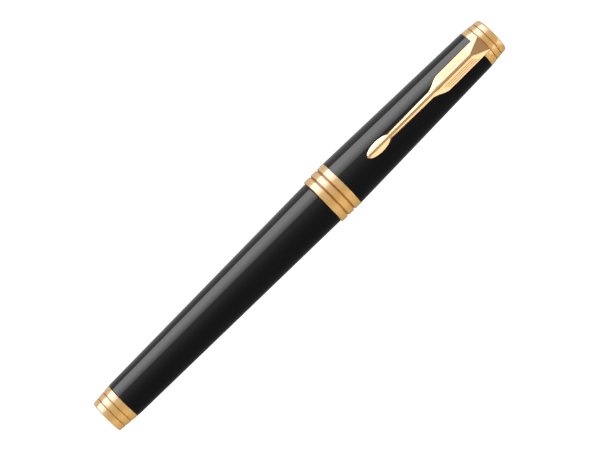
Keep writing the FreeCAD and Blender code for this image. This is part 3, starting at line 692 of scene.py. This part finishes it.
BLADE_HEIGHT = 1.45
REAR_HEIGHT = 0.44
FOOT_EDGE = 0.7           # thickness at the side edges of the foot, stem and blade
STEM_EDGE = 0.78
SIDE_EDGE = 0.32
FRONT_EDGE_SHARE = 0.45   # at most this share of the thickness is left at the edges, in front of the
REAR_EDGE_SHARE = 0.62    # foot's widest point and behind it
EDGE_ROUNDING = 0.05
FACET_HALF = 0.38         # half width of the flat along the clip's middle
FACET_SHARE = 0.55        # and at most this share of the half width
FACET_ROUNDING = 0.05
FLANK_LEAST = 0.15        # width left for the flank behind the hip
BULGE = 0.06              # of the flank's width, that the foot's and stem's flanks stand out
CLIP_STEP = 0.16
TIP_STEPS, TIP_LENGTH = 8, 0.7
FLANK_STEPS = 34
FLUTES = (0.26, 0.5, 0.74)
FLUTE_HALF, FLUTE_DEPTH = 0.095, 0.075
FLUTE_X0, FLUTE_LATER = FLARE_X1 - 2.6, 2.2    # where flutes start by the middle, and how much later
FLUTE_X1, FLUTE_LONGER = HIP_X - 1.4, 2.9      # by the side; the same for where they end
FLUTE_RUN_IN, FLUTE_RUN_OUT = 2.0, 0.8


def smooth(x, x0, x1):
    """0 before x0, 1 after x1 and an even S between them."""
    t = min(1.0, max(0.0, (x - x0) / (x1 - x0)))
    return t * t * (3 - 2 * t)


def clip_half_width(x):
    """Outline of the clip from above: oval foot, slender stem and broad blade."""
    stem = STEM_HALF_WIDTH + STEM_SPREAD * (x - FOOT_MID_X) / (FLARE_X0 - FOOT_MID_X)
    stem += (CLIP_HALF_WIDTH - stem) * smooth(x, FLARE_X0, FLARE_X1)
    tip_x = stations("clip")[0]
    reach = (x - FOOT_MID_X) / (FOOT_MID_X - tip_x)
    oval = FOOT_HALF_WIDTH * math.sqrt(max(0.0, 1 - reach * reach))
    if x < FOOT_MID_X:
        stem *= smooth(x, tip_x, FOOT_MID_X)
    return max((oval ** 3 + stem ** 3) ** (1 / 3), MIN_HALF_WIDTH)


def clip_line(x):
    """Height above the pen's axis that the clip's thickness is measured from."""
    share = (x - BAND_END_X) / (CAP_RING_X - BAND_END_X)
    cap_r = CAP_TUBE_R + (CAP_RING_R - CAP_TUBE_R) * share
    gap = FOOT_GAP + (POCKET_GAP - FOOT_GAP) * smooth(x, GAP_START_X, FOOT_END_X)
    return cap_r + gap + TIP_CURL * (1 - smooth(x, FOOT_TIP_X, CURL_END_X))


def clip_underside(x):
    """Height of the clip's underside, which comes down to the cap at the root."""
    return clip_line(x) - (POCKET_GAP - ROOT_GAP) * smooth(x, ROOT_X0, ROOT_X1)


def clip_heights(x):
    """Height of the flat along the middle and height of the side edges."""
    foot = 1 - smooth(x, FOOT_MID_X, FOOT_END_X)
    blade = smooth(x, FLARE_X0, FLARE_X1)
    rise = STEM_HEIGHT + (FOOT_HEIGHT - STEM_HEIGHT) * foot + (BLADE_HEIGHT - STEM_HEIGHT) * blade
    rise -= (FOOT_HEIGHT - TIP_HEIGHT) * (1 - smooth(x, FOOT_TIP_X - 1.0, FOOT_MID_X))
    edge = STEM_EDGE + (FOOT_EDGE - STEM_EDGE) * foot + (SIDE_EDGE - STEM_EDGE) * blade
    edge = min(edge, (FRONT_EDGE_SHARE if x < FOOT_MID_X else REAR_EDGE_SHARE) * rise)
    return clip_line(x) + rise, clip_line(x) + edge


def flute(x, share):
    """How deep the flutes are at a share of the way from the middle flat to the side edge."""
    start, end = FLUTE_X0 + FLUTE_LATER * share, FLUTE_X1 + FLUTE_LONGER * share
    ends = smooth(x, start, start + FLUTE_RUN_IN) * (1 - smooth(x, end, end + FLUTE_RUN_OUT))
    depth = 0.0
    for middle in FLUTES:
        off = abs(share - middle) / FLUTE_HALF
        if off < 1:
            depth += FLUTE_DEPTH * (0.5 + 0.5 * math.cos(math.pi * off))
    return depth * ends


def clip_flank(x):
    """Points (across, height) from the edge of the middle flat down to the side, on the +Y side."""
    top, edge_z = clip_heights(x)
    half = clip_half_width(x)
    flat = min(FACET_HALF, FACET_SHARE * half)
    fall = (top - edge_z) / (half - flat)
    if x > HIP_X:
        rear = stations("clip")[1]
        hip_top = clip_heights(HIP_X)[0]
        rear_top = clip_line(rear) + REAR_HEIGHT
        new_top = hip_top + (rear_top - hip_top) * (x - HIP_X) / (rear - HIP_X)
        flat = min(flat + (top - new_top) / fall, half - FLANK_LEAST)
        top = new_top
        fall = (top - edge_z) / (half - flat)
    soft = min(FACET_ROUNDING, 0.2 * flat)
    points = [(flat - soft, top), (flat + soft, top - fall * soft * 1.6)]
    for i in range(1, FLANK_STEPS):
        share = i / FLANK_STEPS
        y = flat + soft + (half - EDGE_ROUNDING - flat - soft) * share
        bulge = BULGE * (half - flat) * math.sin(math.pi * share) * (1 - smooth(x, FLARE_X0, FLARE_X1))
        points.append((y, top - fall * (y - flat) + bulge - flute(x, share)))
    points += [(half - EDGE_ROUNDING, edge_z + 0.03), (half, edge_z - 0.04)]
    return points


def clip_ring(x):
    """One closed cross-section of the clip."""
    under, half = clip_underside(x), clip_half_width(x)
    right = clip_flank(x) + [(half, under + 0.08), (half - min(0.08, half / 3), under)]
    left = [(-y, z) for y, z in reversed(right)]
    return [at(x, y, z) for y, z in left + right]


def clip():
    """Sprung pocket clip, with the round knuckle at its root."""
    tip, rear = stations("clip")
    near_tip = [tip + TIP_LENGTH * (i / TIP_STEPS) ** 2 for i in range(TIP_STEPS)]
    tip_end = tip + TIP_LENGTH
    count = round((rear - tip_end) / CLIP_STEP)
    places = near_tip + [tip_end + (rear - tip_end) * i / count for i in range(count + 1)]
    rings = [clip_ring(x) for x in places]
    size = len(rings[0])
    vertices = [point for ring in rings for point in ring]
    faces = [tuple(range(size)), tuple((len(rings) - 1) * size + k for k in range(size))]
    for i in range(len(rings) - 1):
        for k in range(size):
            a, b = i * size + k, i * size + (k + 1) % size
            faces.append((a, b, b + size, a + size))
    round_part = [
        (HINGE_X + KNUCKLE_R * math.cos(t), HINGE_Z - KNUCKLE_R * math.sin(t))
        for t in [math.pi * i / 16 for i in range(17)]
    ]
    root_top = clip_underside(HINGE_X) + 0.1
    profile = [(HINGE_X + KNUCKLE_R, root_top)] + round_part + [(HINGE_X - KNUCKLE_R, root_top)]
    half = CLIP_HALF_WIDTH - 0.1
    start = len(vertices)
    for y in (-half, half):
        vertices += [at(x, y, z) for x, z in profile]
    n = len(profile)
    faces += [tuple(start + k for k in range(n)), tuple(start + n + k for k in range(n))]
    faces += [(start + k, start + (k + 1) % n, start + n + (k + 1) % n, start + n + k) for k in range(n)]
    return as_piece("clip", vertices, faces, sharp=CLIP_SHARP_ANGLE)


barrel()
spring()
refill()
section()
cap()
clip_piece = clip()

for node, shown in frame["nodes"].items():
    if not shown.hide_render:
        shown.data.materials.clear()
        shown.data.materials.append(MATERIALS[SLOT_OF[node]])


# ---------------------------------------------------------------- studio
PEN_SLOPE = math.radians(44.82)   # how far the pen's axis rises across the picture
CAMERA_DISTANCE = 0.677
CAMERA_TOWARDS_TAIL = 0.018
LENS_MM = 160.0


def add_camera():
    """Long lens almost straight above, a little towards the tail, with the pen on the diagonal."""
    target = at(69.08)
    place = target + Vector((-CAMERA_TOWARDS_TAIL, 0, CAMERA_DISTANCE))
    back = (place - target).normalized()
    along = Vector((1, 0, 0))
    along = (along - back * along.dot(back)).normalized()
    side = back.cross(along)
    right = along * math.cos(PEN_SLOPE) - side * math.sin(PEN_SLOPE)
    up = along * math.sin(PEN_SLOPE) + side * math.cos(PEN_SLOPE)
    data = bpy.data.cameras.new("camera")
    data.lens = LENS_MM
    data.clip_start, data.clip_end = 0.01, 50
    camera = bpy.data.objects.new("camera", data)
    camera.matrix_world = Matrix((
        (right.x, up.x, back.x, place.x), (right.y, up.y, back.y, place.y),
        (right.z, up.z, back.z, place.z), (0, 0, 0, 1),
    ))
    bpy.context.scene.collection.objects.link(camera)
    bpy.context.scene.camera = camera


PANEL_DISTANCE = 3.0
PANEL_HALF_LENGTH = 1.5
PANEL_FROM, PANEL_TO = math.radians(-3.8), math.radians(57.0)   # above the horizon
PANEL_ROWS = 16
PANEL_PEAK = 4.5
# Brightness of the panel by share of the way up from its lower edge.
PANEL_GLOW = ((0.0, 3.7), (0.16, 3.9), (0.3, 4.3), (0.45, 4.4), (0.6, 3.9), (0.74, 3.1), (0.88, 2.3),
              (1.0, 1.7))


def glow(name, steps, peak):
    """Emission that follows steps of (share, brightness) along the second UV axis."""
    material = bpy.data.materials.new(name)
    material.use_nodes = True
    tree = material.node_tree
    tree.nodes.clear()
    coordinates = tree.nodes.new("ShaderNodeUVMap")
    split = tree.nodes.new("ShaderNodeSeparateXYZ")
    ramp = tree.nodes.new("ShaderNodeValToRGB")
    emission = tree.nodes.new("ShaderNodeEmission")
    output = tree.nodes.new("ShaderNodeOutputMaterial")
    fill_ramp(ramp, steps, peak)
    emission.inputs["Strength"].default_value = peak
    tree.links.new(coordinates.outputs["UV"], split.inputs["Vector"])
    tree.links.new(split.outputs["Y"], ramp.inputs["Fac"])
    tree.links.new(ramp.outputs["Color"], emission.inputs["Color"])
    tree.links.new(emission.outputs["Emission"], output.inputs["Surface"])
    return material


def fill_ramp(ramp, steps, peak):
    """Sets a colour ramp to grey steps of (place, brightness), as shares of the peak."""
    while len(ramp.color_ramp.elements) < len(steps):
        ramp.color_ramp.elements.new(0.5)
    for element, (place, value) in zip(ramp.color_ramp.elements, steps):
        element.position = place
        element.color = (value / peak, value / peak, value / peak, 1)


def add_panel():
    """Curved softbox along the pen on its +Y side, brightest a little below its middle."""
    vertices, faces = [], []
    for i in range(PANEL_ROWS + 1):
        rise = PANEL_FROM + (PANEL_TO - PANEL_FROM) * i / PANEL_ROWS
        y, z = PANEL_DISTANCE * math.cos(rise), AXIS_Z + PANEL_DISTANCE * math.sin(rise)
        vertices += [(-PANEL_HALF_LENGTH, y, z), (PANEL_HALF_LENGTH, y, z)]
    for i in range(PANEL_ROWS):
        faces.append((2 * i, 2 * i + 2, 2 * i + 3, 2 * i + 1))
    mesh = bpy.data.meshes.new("panel")
    mesh.from_pydata(vertices, [], faces)
    layer = mesh.uv_layers.new(name="rise")
    for loop in mesh.loops:
        layer.data[loop.index].uv = (loop.vertex_index % 2, loop.vertex_index // 2 / PANEL_ROWS)
    mesh.materials.append(glow("panel_glow", PANEL_GLOW, PANEL_PEAK))
    panel = bpy.data.objects.new("panel", mesh)
    bpy.context.scene.collection.objects.link(panel)
    panel.visible_camera = False
    panel.visible_shadow = False
    panel.visible_diffuse = False


def softbox(name, place, size_x, size_y, radiance, mirrored=False, only=None):
    """Rectangular light that faces the pen.

    A mirrored one is seen in gloss and lights nothing else, and any other one is never seen in gloss.
    With only, it lights that one piece.
    """
    data = bpy.data.lights.new(name, "AREA")
    data.shape = "RECTANGLE"
    data.size, data.size_y = size_x, size_y
    data.energy = radiance * math.pi * size_x * size_y
    lamp = bpy.data.objects.new(name, data)
    lamp.location = place
    lamp.rotation_euler = (-Vector(place)).to_track_quat("-Z", "Y").to_euler()
    lamp.visible_camera = False
    lamp.visible_glossy = mirrored
    lamp.visible_diffuse = not mirrored
    bpy.context.scene.collection.objects.link(lamp)
    if only:
        lit = bpy.data.collections.new(name + "_lights")
        lit.objects.link(only)
        lamp.light_linking.receiver_collection = lit


# Brightness of the room by the Y part of the direction looked at, from -1 to 1.
ROOM_GLOW = ((0.0, 0.13), (0.1, 0.14), (0.215, 0.17), (0.355, 0.23), (0.5, 0.34), (0.645, 0.53),
             (0.75, 0.62), (1.0, 0.62))


def add_room():
    """Soft surroundings, brighter on the panel's side, and white where the camera sees them."""
    world = bpy.data.worlds.new("studio")
    world.use_nodes = True
    tree = world.node_tree
    shade = tree.nodes["Background"]
    white = tree.nodes.new("ShaderNodeBackground")
    where = tree.nodes.new("ShaderNodeTexCoord")
    split = tree.nodes.new("ShaderNodeSeparateXYZ")
    spread = tree.nodes.new("ShaderNodeMapRange")
    ramp = tree.nodes.new("ShaderNodeValToRGB")
    path = tree.nodes.new("ShaderNodeLightPath")
    mix = tree.nodes.new("ShaderNodeMixShader")
    fill_ramp(ramp, ROOM_GLOW, 1.0)
    spread.inputs["From Min"].default_value = -1
    white.inputs["Color"].default_value = (1, 1, 1, 1)
    tree.links.new(where.outputs["Generated"], split.inputs["Vector"])
    tree.links.new(split.outputs["Y"], spread.inputs["Value"])
    tree.links.new(spread.outputs["Result"], ramp.inputs["Fac"])
    tree.links.new(ramp.outputs["Color"], shade.inputs["Color"])
    tree.links.new(path.outputs["Is Camera Ray"], mix.inputs["Fac"])
    tree.links.new(shade.outputs["Background"], mix.inputs[1])
    tree.links.new(white.outputs["Background"], mix.inputs[2])
    tree.links.new(mix.outputs["Shader"], tree.nodes["World Output"].inputs["Surface"])
    bpy.context.scene.world = world


FLOOR_HALF = 6.0


def add_floor():
    """Plain pale sheet under the pen, which takes no light back to it."""
    mesh = bpy.data.meshes.new("floor")
    corners = [(x * FLOOR_HALF, y * FLOOR_HALF, 0) for x, y in ((-1, -1), (1, -1), (1, 1), (-1, 1))]
    mesh.from_pydata(corners, [], [(0, 1, 2, 3)])
    floor = bpy.data.objects.new("floor", mesh)
    bpy.context.scene.collection.objects.link(floor)
    paper = new_material("paper", (0.35, 0.35, 0.35), roughness=0.9, Emission_Color=(1, 1, 1, 1),
                         Emission_Strength=0.93)
    mesh.materials.append(paper)
    floor.visible_glossy = False
    floor.visible_diffuse = False


add_camera()
add_panel()
# Radiances.  The two kickers brighten the clip alone.
softbox("key", (0, 2.6, 1.4), 1.6, 1.6, 2.6)
softbox("fill", (0, -2.5, 1.3), 2.6, 1.6, 6.2)
softbox("kicker", (0, -2.6, 1.2), 3.0, 3.2, 1.5, mirrored=True, only=clip_piece)
softbox("top_kicker", (0, 0.1, 2.9), 3.0, 1.6, 0.12, mirrored=True, only=clip_piece)
softbox("cap_front", (1.9, -2.1, 0.75), 2.2, 2.2, 1.3, mirrored=True)
softbox("tail_front", (-2.2, -1.75, 0.8), 1.8, 2.0, 1.3, mirrored=True)
softbox("cap_back", (2.4, 1.5, 1.3), 1.4, 1.0, 2.0, mirrored=True)
softbox("tail_back", (-2.4, 1.5, 1.3), 1.4, 1.0, 2.0, mirrored=True)
add_room()
add_floor()
bpy.context.scene.view_settings.view_transform = "Standard"
